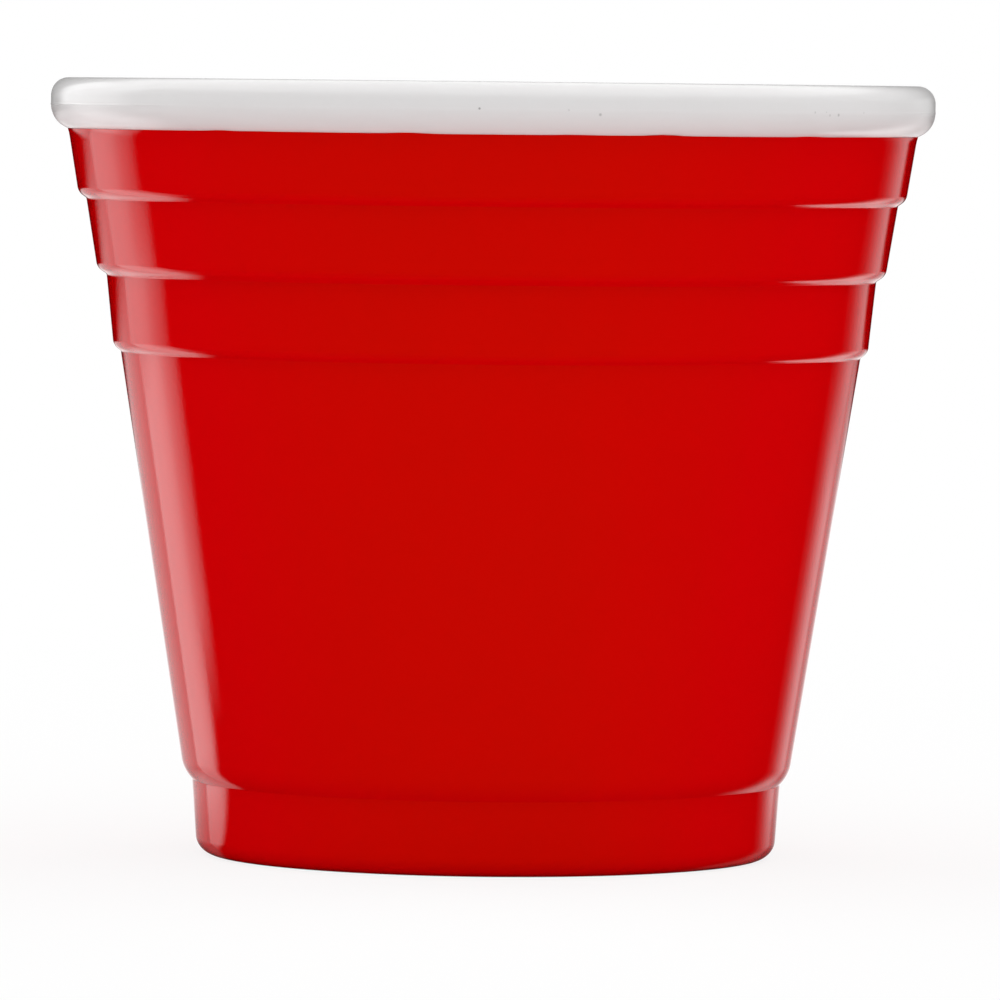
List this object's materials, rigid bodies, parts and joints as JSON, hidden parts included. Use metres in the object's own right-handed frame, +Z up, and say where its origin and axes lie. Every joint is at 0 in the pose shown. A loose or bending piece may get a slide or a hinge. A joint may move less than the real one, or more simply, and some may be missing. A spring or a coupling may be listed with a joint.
{
  "type": "plastic shot glass",
  "caption": "Small tapered plastic cup for shots, white inside with a thick round rim and red outside, with stepped ledges below the rim and a set-in foot.",
  "frame": {"origin": "centre of the foot's underside, on the plane the cup stands on", "axes": "+Z up along the cup's axis of symmetry; X and Y are equivalent, because the cup is round"},
  "size_m": [0.0601, 0.06, 0.0526],
  "materials": {
    "white_plastic": "satin-gloss moulded white plastic",
    "red_plastic": "satin-gloss moulded red plastic"
  },
  "bodies": {
    "root": {"white_inner_cup": "white_plastic", "red_outer_cup": "red_plastic"}
  },
  "joints": []
}
